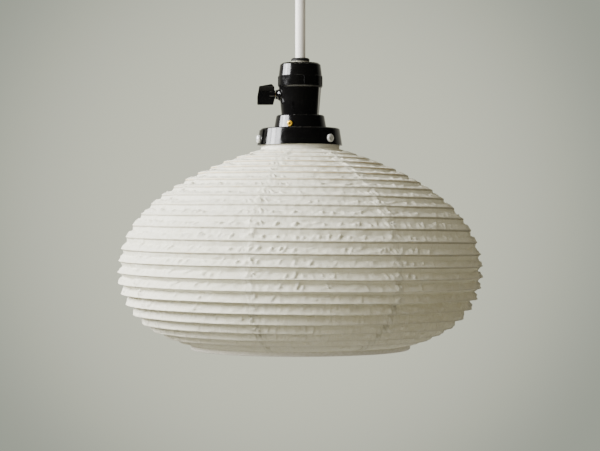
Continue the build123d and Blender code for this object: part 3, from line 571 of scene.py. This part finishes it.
def cells_at(points, size, shift=0.0):
    """Distance to the nearest cell centre, as a share of the cell size."""
    flat = (points / size + shift).reshape(-1, 3).tolist()
    return np.array([noise.voronoi(p)[0][0] for p in flat]).reshape(points.shape[:-1])


def rib_wave(turns, shift):
    """Slow wander of the bamboo strip along its length, from about -1 to 1."""
    along = np.asarray(turns) * RIB_WAVES_PER_TURN
    fixed = np.full_like(along, RIB_WAVES_PER_TURN / (2 * math.pi))
    return noise_at(np.stack([along, np.full_like(along, shift), fixed], -1), 1.0)


def wander_share(down):
    """How much of its wander the rib has: none where it is held, at the neck and at the rim."""
    return smooth(down / NECK_FADE) * smooth((outline_length - down) / RIM_FADE)


def round_axis(radius, azimuth, height):
    """Points at that radius, azimuth and height about the lamp's axis."""
    return np.stack([radius * np.cos(azimuth), radius * np.sin(azimuth), height], -1)


# ---------------------------------------------------------------- paper panels

def sheet_points(turn_rows, azimuth_of):
    """Place down the outline, azimuth, turns, share of a band and outward wander of a panel's points.

    Rows follow the helix. azimuth_of gives each column's azimuth at a radius, and the radius depends on
    the azimuth, so the two are found in a few rounds.
    """
    turn_rows = turn_rows[:, None]
    down = down_at(turn_rows)
    for _ in range(3):
        radius = on_outline(np.clip(down, 0, outline_length))[0]
        azimuth = azimuth_of(radius)
        down = down_at(turn_rows + azimuth / (2 * math.pi))
    turns = np.floor(turn_rows) + azimuth / (2 * math.pi)
    share = np.broadcast_to(np.mod(turn_rows, 1.0), azimuth.shape)
    wave_down, wave_out = (
        (1 - share) * rib_wave(turns, shift) + share * rib_wave(turns + 1, shift)
        for shift in (WAVE_DOWN_SHIFT, WAVE_OUT_SHIFT)
    )
    free = wander_share(down)
    down = np.clip(down + RIB_WAVE_DOWN * wave_down * free, 0, outline_length)
    return down, azimuth, turns, share, wave_out * free


def seam_distance(azimuth, radius):
    """Distance round the lantern to the nearest glued seam."""
    gore = 2 * math.pi / GORE_COUNT
    offset = np.mod(azimuth - (SEAM_AZIMUTH - math.pi / 2) + gore / 2, gore) - gore / 2
    return np.abs(offset) * radius


def near_bottom(down):
    """0 down to the belly and 1 near the bottom."""
    return smooth((down - LOWER_START) / LOWER_FADE)


def sag_depth(down):
    """Full depth of the sag between two turns, from the paper's loose length and the rib's pitch."""
    slack = np.maximum(LOOSE_LENGTH**2 - pitch_at(down) ** 2, 0)
    neck = NECK_SAG + (1 - NECK_SAG) * smooth(down / NECK_FADE)
    lower = 1 + LOWER_SAG * near_bottom(down)
    return 0.5 * np.sqrt(slack) * neck * lower * smooth((outline_length - down) / RIM_FADE)


def hashed(index, salt):
    """A fixed random number from 0 to 1 for each whole number."""
    value = np.sin(index * 127.1 + salt * 74.7) * 43758.5453
    return value - np.floor(value)


def buckles(along, share, spacing, lean, salt):
    """Sharp slanting buckles in the lower part of each band: steep on one side and gentle on the other.

    Lean is how far a buckle shifts sideways down a band. Each buckle has its own slant, middle, size,
    start, width and end. A point gets those of its own slot and of the slots beside it.
    """
    slot = np.floor(along / spacing)
    height = np.zeros_like(along)
    for step in (-1, 0, 1):
        index = slot + step
        slant = (0.45 + 0.75 * hashed(index, salt)) * lean
        middle = (index + 0.5 + 0.8 * (hashed(index, salt + 1) - 0.5)) * spacing
        size = np.clip(hashed(index, salt + 2) * 1.35 - 0.12, 0, 1)
        start = 0.30 + 0.22 * hashed(index, salt + 3)
        offset = (along - middle - slant * (share - 0.65)) / spacing * np.sign(slant + 1e-9)
        steep = np.clip(1 + offset / 0.10, 0, 1)
        gentle = np.clip(1 - offset / (0.25 + 0.30 * hashed(index, salt + 4)), 0, 1)
        tent = np.where(offset < 0, steep, gentle)
        end = 0.76 + 0.22 * hashed(index, salt + 5)
        window = smooth((share - start) / 0.10) * smooth((end - share) / 0.14)
        height = height + size * tent * window
    return height


def displaced(down, azimuth, turns, share, wave_out):
    """Puts the sag, buckles and crumpled seams into the sheet."""
    radius, height, out_r, out_z = on_outline(down)
    flat = round_axis(radius, azimuth, height)
    belly = smooth((down - BELLY_START) / BELLY_FADE)
    seam = np.exp(-((seam_distance(azimuth, radius) / SEAM_WIDTH) ** 2))
    along = helix_length(turns)

    band_places = np.stack([along, 0 * along, np.floor(turns) * FOLD_BAND_GAP], -1)
    wander = FOLD_WANDER * noise_at(band_places, FOLD_WANDER_SIZE, shift=4.4) * np.sin(math.pi * share)
    warped = np.clip(np.power(share, 0.80 + 0.20 * belly) + wander, 0, 1)
    profile_shares, profile_sags = zip(*SAG_PROFILE, (1.0, SAG_PROFILE[0][1]))
    sag = np.interp(warped, profile_shares, profile_sags)
    patch = noise_at(flat, SAG_PATCH_SIZE)
    depth = sag_depth(down) * (1 + SAG_PATCH_SHARE * patch) * (1 - SEAM_SAG_LOSS * seam)
    offset = -depth * sag

    strength = np.clip(0.80 + 0.9 * noise_at(flat, BUCKLE_PATCH_SIZE, shift=9.1), 0.2, 1.3)
    strength = strength * (0.45 + 0.55 * belly)
    leans_back = noise_at(flat, LEAN_PATCH_SIZE, shift=14.3) > 0.35 - 0.75 * belly
    lean = np.where(leans_back, -BUCKLE_LEAN, BUCKLE_LEAN)
    offset += BUCKLE_HEIGHT * strength * buckles(along, share, BUCKLE_SPACING, lean, 1.0)
    offset += STREAK_HEIGHT * buckles(along, share, STREAK_SPACING, STREAK_LEAN, 11.0)
    offset += SEAM_BUCKLE_HEIGHT * seam * buckles(along, share, SEAM_BUCKLE_SPACING, BUCKLE_LEAN, 21.0)

    # Crumples fade out where the paper lies on the rib
    between = np.clip(sag, 0, 1)
    cells = cells_at(flat * np.array([1, 1, 1.25]), CRUMPLE_SIZE, shift=2.2)
    offset += CRUMPLE_HEIGHT * (cells - CELL_MIDDLE) * between * (0.8 + 0.5 * patch)
    offset += FINE_HEIGHT * noise_at(flat, FINE_SIZE, shift=1.7) * between
    lumps = cells_at(flat, SEAM_LUMP_SIZE, shift=6.6)
    offset += SEAM_LUMP_HEIGHT * seam * between * (lumps - CELL_MIDDLE)

    # Paper that is glued on both sides can hardly stand proud of the rib
    proud = np.maximum(-depth * sag, 0) + PROUD_LIMIT * np.clip(share * (1 - share) * 12, 0, 1)
    offset = np.minimum(offset, proud) + RIB_WAVE_OUT * wave_out
    return radius + offset * out_r, height + offset * out_z, out_r, out_z


def glue_and_shadow_lines(down, azimuth, share, radius, ends):
    """How dark each point of the sheet is painted, from 0 to 1: glued paper and painted rib shadow under
    the rib, painted rib shadow on the crests near the bottom, and glued seam edges.
    """
    under_rib = np.exp(-(((share - GLUE_AND_SHADE_SHARE) / GLUE_AND_SHADE_WIDTH) ** 2)) * ~ends
    crest = np.exp(-(((1 - share) / CREST_WIDTH) ** 2)) * near_bottom(down)
    from_edge = seam_distance(azimuth, radius) - SEAM_OVERLAP / 2
    seam = SEAM_STAIN * np.exp(-((from_edge / SEAM_STAIN_WIDTH) ** 2))
    return np.maximum(np.maximum(under_rib, CREST_SHADOW * crest * ~ends), seam)


def mesh_object(name, vertices, faces, slot_name):
    mesh = bpy.data.meshes.new(name)
    mesh.from_pydata(vertices, [], faces)
    mesh.materials.append(materials[slot_name])
    mesh.polygons.foreach_set("use_smooth", [True] * len(mesh.polygons))
    mesh.update()
    piece = in_scene(name, mesh)
    return piece


def grid_faces(rows, columns, closed=False):
    """Quads over a grid of points, row by row; closed joins the last column to the first."""
    faces = []
    last = columns if closed else columns - 1
    for row in range(rows - 1):
        for column in range(last):
            right = (column + 1) % columns
            faces.append((
                row * columns + column,
                (row + 1) * columns + column,
                (row + 1) * columns + right,
                row * columns + right,
            ))
    return faces


def without_empty_faces(vertices, faces, marks):
    """Merges points that share a place, and drops faces that lose an edge by it."""
    places = {}
    new_index = []
    kept = []
    kept_marks = []
    for vertex, mark in zip(vertices, marks):
        key = tuple(round(c * MERGE_STEPS_PER_METRE) for c in vertex)
        if key not in places:
            places[key] = len(kept)
            kept.append(vertex)
            kept_marks.append(mark)
        new_index.append(places[key])
    clean = []
    for face in faces:
        ring = []
        for corner in (new_index[i] for i in face):
            if corner not in ring:
                ring.append(corner)
        if len(ring) > 2:
            clean.append(ring)
    return kept, clean, kept_marks


def make_gore(index):
    """One panel of paper, overlapping its neighbour by the width of the glued seam."""
    gore = 2 * math.pi / GORE_COUNT
    start = SEAM_AZIMUTH - math.pi / 2 + gore * index
    across = np.linspace(0, 1, GORE_COLUMNS)[None, :]

    def azimuth_of(radius):
        margin = SEAM_OVERLAP / 2 / radius
        return start - margin + across * (gore + 2 * margin)

    first = math.floor(-RIB_START / RIB_PITCH - start / (2 * math.pi)) - 2
    last = math.ceil(rib_turns - start / (2 * math.pi)) + 2
    turn_rows = np.array([turn + share for turn in range(first, last) for share, _ in SAG_PROFILE])
    down, azimuth, turns, share, wave_out = sheet_points(turn_rows, azimuth_of)
    radius, height, out_r, out_z = displaced(down, azimuth, turns, share, wave_out)

    # Rows past the neck or the rim lie on the outline's end, where they are merged
    ends = (down <= 0) | (down >= outline_length)
    flat_radius, flat_height, _, _ = on_outline(down)
    radius = np.where(ends, flat_radius, radius)
    height = np.where(ends, flat_height, height)

    # The first edge lies on top of the neighbour's last edge
    from_start = (azimuth - azimuth[:, :1]) * flat_radius
    lift = SEAM_LIFT * (1 - smooth((from_start - SEAM_OVERLAP) / SEAM_LIFT_FADE))
    points = round_axis(radius + lift * out_r, azimuth, height + lift * out_z)

    vertices, faces, glue_and_shade = without_empty_faces(
        points.reshape(-1, 3).tolist(),
        grid_faces(len(turn_rows), GORE_COLUMNS),
        glue_and_shadow_lines(down, azimuth, share, flat_radius, ends).reshape(-1).tolist(),
    )
    piece = mesh_object(f"paper_panel_{index + 1}", vertices, faces, "lantern_paper")
    # Strength of the dark lines for the material: glued paper, and painted shadow of the rib
    marks = piece.data.attributes.new("glue_and_rib_shadow", "FLOAT", "POINT")
    marks.data.foreach_set("value", glue_and_shade)
    return piece


# ---------------------------------------------------------------- rib, rim and cord

def swept_strip(centre, side, up):
    """The rib's section swept along a line of points: a closed strip with its corners taken off."""
    near = 1 - RIB_CORNER_CUT
    corners = []
    for a, b in ((1, near), (near, 1), (-near, 1), (-1, near),
                 (-1, -near), (-near, -1), (near, -1), (1, -near)):
        corners.append(centre + side * (a * RIB_WIDTH / 2) + up * (b * RIB_HEIGHT / 2))
    rings = np.stack(corners, 1)
    count = len(corners)
    faces = grid_faces(len(rings), count, closed=True)
    end = (len(rings) - 1) * count
    faces.append(tuple(range(count)))
    faces.append(tuple(end + i for i in reversed(range(count))))
    return rings.reshape(-1, 3).tolist(), faces


def make_rib():
    """The bamboo strip that the paper is glued to, with the same wander as the paper's crests."""
    turns = np.linspace(0, rib_turns, int(rib_turns * RIB_ROWS_PER_TURN))
    azimuth = 2 * math.pi * turns
    down = down_at(turns)
    free = wander_share(down)
    down = down + RIB_WAVE_DOWN * rib_wave(turns, WAVE_DOWN_SHIFT) * free
    radius, height, out_r, out_z = on_outline(down)
    inset = RIB_WAVE_OUT * rib_wave(turns, WAVE_OUT_SHIFT) * free - RIB_INSET
    centre = round_axis(radius + inset * out_r, azimuth, height + inset * out_z)
    side = round_axis(out_r, azimuth, out_z)
    up = round_axis(-out_z, azimuth, out_r)
    vertices, faces = swept_strip(centre, side, up)
    return mesh_object("bamboo_rib", vertices, faces, "rib_bamboo")


def make_binding():
    """The strip of paper folded over the rim hoop, with the small pleats that the bend gives it."""
    low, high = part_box("rim_binding")
    outer = high.x
    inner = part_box("rim_hoop")[1].x - BINDING_DEPTH
    section = [
        (outer - 0.3 * MM, high.z + 0.6 * MM),
        (outer - 0.05 * MM, high.z - 0.5 * MM),
        (outer, (high.z + low.z) / 2),
        (outer - 0.1 * MM, low.z + 0.7 * MM),
        (outer - 0.8 * MM, low.z + 0.05 * MM),
        ((outer + inner) / 2, low.z),
        (inner + 0.7 * MM, low.z + 0.1 * MM),
        (inner, low.z + 0.9 * MM),
        (inner, high.z - 0.3 * MM),
        (inner + 0.4 * MM, high.z + 0.5 * MM),
    ]
    azimuth = np.linspace(0, 2 * math.pi, BINDING_COLUMNS, endpoint=False)[None, :]
    radius = np.array([p[0] for p in section])[:, None] + 0 * azimuth
    height = np.array([p[1] for p in section])[:, None] + 0 * azimuth
    flat = round_axis(radius, azimuth, height)
    pleats = noise_at(flat * np.array([1, 1, 0.35]), PLEAT_SIZE, shift=3.0)
    slow = noise_at(flat, BINDING_WAVE_SIZE, shift=7.0)
    radius = radius + PLEAT_HEIGHT * pleats + BINDING_WAVE_OUT * slow + BINDING_CLEARANCE
    height = height + BINDING_WAVE_UP * slow
    points = round_axis(radius, azimuth, height)
    faces = grid_faces(len(section), BINDING_COLUMNS, closed=True)
    top = (len(section) - 1) * BINDING_COLUMNS
    for column in range(BINDING_COLUMNS):
        right = (column + 1) % BINDING_COLUMNS
        faces.append((top + column, column, right, top + right))
    return mesh_object("rim_paper_binding", points.reshape(-1, 3).tolist(), faces, "binding_paper")


def make_cord():
    """The round cord, hanging straight from its ball in the ceiling fitting."""
    curve = bpy.data.curves.new("pendant_cord_line", "CURVE")
    curve.dimensions = "3D"
    curve.bevel_depth = CORD_DIAMETER / 2
    curve.bevel_resolution = 8
    curve.use_fill_caps = True
    spline = curve.splines.new("NURBS")
    spline.points.add(len(CORD_ROUTE_Z) - 1)
    for point, height in zip(spline.points, CORD_ROUTE_Z):
        point.co = (0, 0, height, 1)
    spline.order_u = 3
    spline.use_endpoint_u = True
    spline.resolution_u = 12
    curve.materials.append(materials["cord_sheath"])
    cord = in_scene("round_cord", curve)
    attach(cord, "pendant")
    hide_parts("pendant_cord")
    return cord


# ---------------------------------------------------------------- put the soft pieces in place


def fold_with_rim(piece):
    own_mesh(piece)


for index in range(GORE_COUNT):
    panel = make_gore(index)
    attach(panel, "pendant")
    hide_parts(f"paper_gore_{index + 1}")
    fold_with_rim(panel)

rib = make_rib()
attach(rib, "pendant")
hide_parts("rib_helix")
fold_with_rim(rib)

binding = make_binding()
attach(binding, "rim")
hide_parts("rim_binding")

make_cord()


# ---------------------------------------------------------------- floor, light and camera

def make_floor():
    angles = [2 * math.pi * i / FLOOR_CORNERS for i in range(FLOOR_CORNERS)]
    ring = [(FLOOR_RADIUS * math.cos(a), FLOOR_RADIUS * math.sin(a), FLOOR_Z) for a in angles]
    mesh = bpy.data.meshes.new("floor")
    mesh.from_pydata(ring, [], [tuple(range(FLOOR_CORNERS))])
    finish = Finish("pale_floor", (0.50, 0.49, 0.455), 0.8)
    finish.tint(finish.blend(finish.noise(0.3), (0.49, 0.48, 0.445), (0.51, 0.50, 0.465)))
    mesh.materials.append(finish.material)
    in_scene("floor", mesh)


def make_world():
    """A pale wall behind the lamp and a dimmer room in front of it. The camera sees only the wall."""
    world = bpy.data.worlds.new("room")
    bpy.context.scene.world = world
    world.use_nodes = True
    tree = world.node_tree
    direction = tree.nodes.new("ShaderNodeTexCoord").outputs["Generated"]
    rays = tree.nodes.new("ShaderNodeLightPath").outputs
    split = tree.nodes.new("ShaderNodeSeparateXYZ")
    tree.links.new(direction, split.inputs["Vector"])
    towards_wall = map_range(tree, split.outputs["Y"], WALL_START_Y, 1.0)
    front = colour_mix(tree, rays["Is Glossy Ray"], ROOM_COLOUR, DARK_ROOM_COLOUR)
    room = colour_mix(tree, towards_wall, front, WALL_COLOUR)

    nearness = tree.nodes.new("ShaderNodeVectorMath")
    nearness.operation = "DOT_PRODUCT"
    nearness.inputs[1].default_value = Vector(BACKDROP_DIRECTION).normalized()
    tree.links.new(direction, nearness.inputs[0])
    glow_edge = math.cos(BACKDROP_GLOW_ANGLE)
    glow = map_range(tree, nearness.outputs["Value"], glow_edge, 1.0, ease="SMOOTHSTEP")
    backdrop = colour_mix(tree, glow, BACKDROP_EDGE, BACKDROP_CENTRE)
    seen = colour_mix(tree, rays["Is Camera Ray"], room, backdrop)
    tree.links.new(seen, tree.nodes["Background"].inputs["Color"])


def area_light(name, azimuth, elevation, distance, size, power, colour, in_reflections=True):
    """A soft rectangular light aimed at the lamp; azimuth is in degrees left of the front."""
    turn = math.radians(azimuth)
    rise = math.radians(elevation)
    away = Vector((-math.sin(turn) * math.cos(rise), -math.cos(turn) * math.cos(rise), math.sin(rise)))
    data = bpy.data.lights.new(name, "AREA")
    data.shape = "RECTANGLE"
    data.size, data.size_y = size
    data.energy = power
    data.color = colour
    lamp = in_scene(name, data)
    lamp.location = Vector(LIGHT_TARGET) + away * distance
    lamp.rotation_euler = (-away).to_track_quat("-Z", "Y").to_euler()
    lamp.visible_camera = False
    lamp.visible_glossy = in_reflections


make_floor()
make_world()
for pane, power in enumerate(PANE_POWERS):
    area_light(
        f"window_pane_{pane + 1}",
        PANE_AZIMUTH + PANE_AZIMUTH_STEP * pane,
        PANE_ELEVATION,
        PANE_DISTANCE,
        PANE_SIZE,
        power,
        PANE_COLOUR,
        in_reflections=pane > 0,
    )
area_light(
    "room_glow",
    GLOW_AZIMUTH,
    GLOW_ELEVATION,
    GLOW_DISTANCE,
    GLOW_SIZE,
    GLOW_POWER,
    GLOW_COLOUR,
    in_reflections=False,
)

camera_data = bpy.data.cameras.new("camera")
camera_data.lens = CAMERA_LENS
camera_data.sensor_width = CAMERA_SENSOR
camera = in_scene("camera", camera_data)
camera.location = CAMERA_PLACE
camera.rotation_euler = (math.radians(90), 0, 0)
bpy.context.scene.camera = camera
